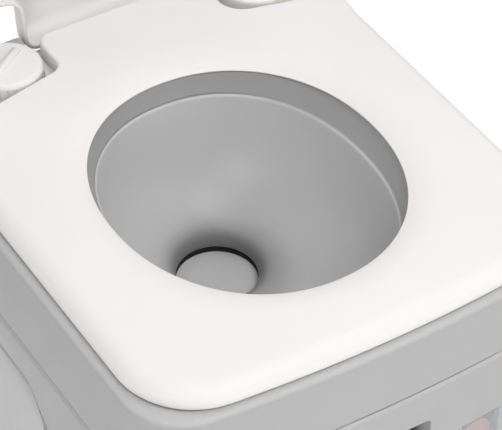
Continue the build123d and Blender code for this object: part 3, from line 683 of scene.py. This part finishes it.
# ------------------------------------------------------------------ CAD parts kept as they are
# Bevel width, mm
EDGE_WIDTHS = {
    "flush_tank": 1.1, "waste_tank": 1.1, "deck_cover": 0.9, "latch_left": 0.8,
    "latch_right": 0.8, "valve_handle": 0.8, "carry_handle": 0.8, "pump_button": 0.6,
    "filler_cap": 0.5, "spout_elbow": 0.7, "spout_cap": 0.5, "hinge_bracket": 0.5,
    "level_window": 0.3, "feet": 0.6, "vent_button": 0.3, "pump_housing": 0.4,
}


def soften_edges(part, width):
    weld = part.modifiers.new("weld", "WELD")
    weld.merge_threshold = 0.00001
    bevel = part.modifiers.new("edge", "BEVEL")
    bevel.width = width * MM
    bevel.segments = 2
    bevel.limit_method = "ANGLE"
    bevel.angle_limit = math.radians(40)
    bevel.use_clamp_overlap = True
    bevel.harden_normals = False


for part_name, part in parts.items():
    if part_name in ("seat", "lid", "bowl"):
        continue
    if part_name in EDGE_WIDTHS:
        soften_edges(part, EDGE_WIDTHS[part_name])
    shade_smooth(part.data)
    part.data.set_sharp_from_angle(angle=math.radians(32))

# Bellows and springs, copied onto the body as meshes of their own: part, joint, fixed z and travel
# in metres
SQUASHED = (
    ("pump_bellows", "pump_press", 0.342, 0.018),
    ("pump_spring", "pump_press", 0.3423, 0.018),
    ("vent_spring", "vent_press", 0.1677, 0.004),
)
for part_name, joint, fixed_z, travel in SQUASHED:
    mesh = parts[part_name].data.copy()
    mesh.transform(parts[part_name].matrix_world)
    soft = add_object(part_name + "_soft", mesh)
    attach(soft, "body")
    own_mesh(soft)
    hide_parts(part_name)


# ------------------------------------------------------------------ floor
def floor_material():
    """Pale floor whose glow grows with distance, for the camera only."""
    material = moulded("floor_pale", (252, 252, 252), rough=0.7, grain=0.02, grain_scale=300,
                       wave=0.02, tint=0.004)
    tree = material.node_tree
    place = add_node(tree, "TexCoord", {}).outputs["Object"]
    distance = add_node(tree, "VectorMath", {0: place}, operation="LENGTH").outputs["Value"]
    far_glow = map_range(tree, distance, (0.9, 2.6), (0.0, 0.9), "SMOOTHSTEP")
    camera_ray = add_node(tree, "LightPath", {}).outputs["Is Camera Ray"]
    glow = calculate(tree, "MULTIPLY", far_glow, camera_ray)
    set_inputs(tree, tree.nodes["Principled BSDF"], {
        "Emission Color": (1.0, 1.0, 1.0, 1.0),
        "Emission Strength": calculate(tree, "ADD", glow, 0.30),
    })
    return material


def build_floor():
    material = floor_material()
    mesh = bpy.data.meshes.new("floor")
    bm = bmesh.new()
    bmesh.ops.create_grid(bm, x_segments=8, y_segments=8, size=6.0)
    bm.to_mesh(mesh)
    bm.free()
    floor = add_object("floor", mesh)
    mesh.materials.append(material)


# ------------------------------------------------------------------ world and lights
def build_world():
    """White to the camera, but almost no light on the product."""
    world = bpy.data.worlds.new("studio")
    bpy.context.scene.world = world
    world.use_nodes = True
    tree = world.node_tree
    background = tree.nodes["Background"]
    background.inputs["Strength"].default_value = 0.6   # applies only if the link is removed
    camera_ray = add_node(tree, "LightPath", {}).outputs["Is Camera Ray"]
    set_inputs(tree, background, {
        "Color": (1.0, 1.0, 1.0, 1.0),
        "Strength": map_range(tree, camera_ray, (0.0, 1.0), (0.05, 1.0)),
    })


LIGHT_TARGET = Vector((0, 0, 0.35))
LIGHT_SIZE = 1.4
LIGHT_GAIN = 0.99           # trims all the lights together
# name, place, power in watts before the gain
LIGHTS = (
    ("top_front", (0, -1.1, 2.4), 28.5),
    ("top_right", (1.1, 0.2, 2.4), 12.0),
    ("front_right", (1.8, -1.6, 1.5), 23.0),
    ("front_left", (-1.8, -1.6, 1.5), 30.0),
    ("rear_right", (1.5, 1.6, 2.0), 13.0),
    ("rear_left", (-1.5, 1.6, 2.0), 18.0),
)


def build_lights():
    for name, place, power in LIGHTS:
        light = bpy.data.lights.new(name, "AREA")
        light.shape = "RECTANGLE"
        light.size = light.size_y = LIGHT_SIZE
        light.energy = power * LIGHT_GAIN
        lamp = add_object(name, light)
        lamp.location = place
        aim = LIGHT_TARGET - Vector(place)
        lamp.rotation_euler = aim.to_track_quat("-Z", "Y").to_euler()


# ------------------------------------------------------------------ camera
CAMERA_TARGET = Vector((-0.012974, -0.049847, 0.384))
CAMERA_DISTANCE = 1.570877
CAMERA_AZIMUTH = math.radians(-33.541)    # from the front, negative to the left
CAMERA_ELEVATION = math.radians(42.716)
CAMERA_ROLL = math.radians(1.901)


def build_camera():
    data = bpy.data.cameras.new("camera")
    data.sensor_fit = "HORIZONTAL"
    data.sensor_width = 36.0
    data.lens = 168.905044
    data.clip_end = 60.0
    camera = add_object("camera", data)
    back = Vector((math.sin(CAMERA_AZIMUTH) * math.cos(CAMERA_ELEVATION),
                   -math.cos(CAMERA_AZIMUTH) * math.cos(CAMERA_ELEVATION),
                   math.sin(CAMERA_ELEVATION)))
    level_right = (-back).cross(Vector((0, 0, 1))).normalized()
    level_up = level_right.cross(-back)
    right = level_right * math.cos(CAMERA_ROLL) + level_up * math.sin(CAMERA_ROLL)
    up = level_up * math.cos(CAMERA_ROLL) - level_right * math.sin(CAMERA_ROLL)
    turn = Matrix((right, up, back)).transposed().to_4x4()
    camera.matrix_world = Matrix.Translation(CAMERA_TARGET + back * CAMERA_DISTANCE) @ turn
    bpy.context.scene.camera = camera


build_floor()
build_world()
build_lights()
build_camera()
bpy.context.scene.view_settings.view_transform = "Standard"
bpy.context.scene.view_settings.look = "None"
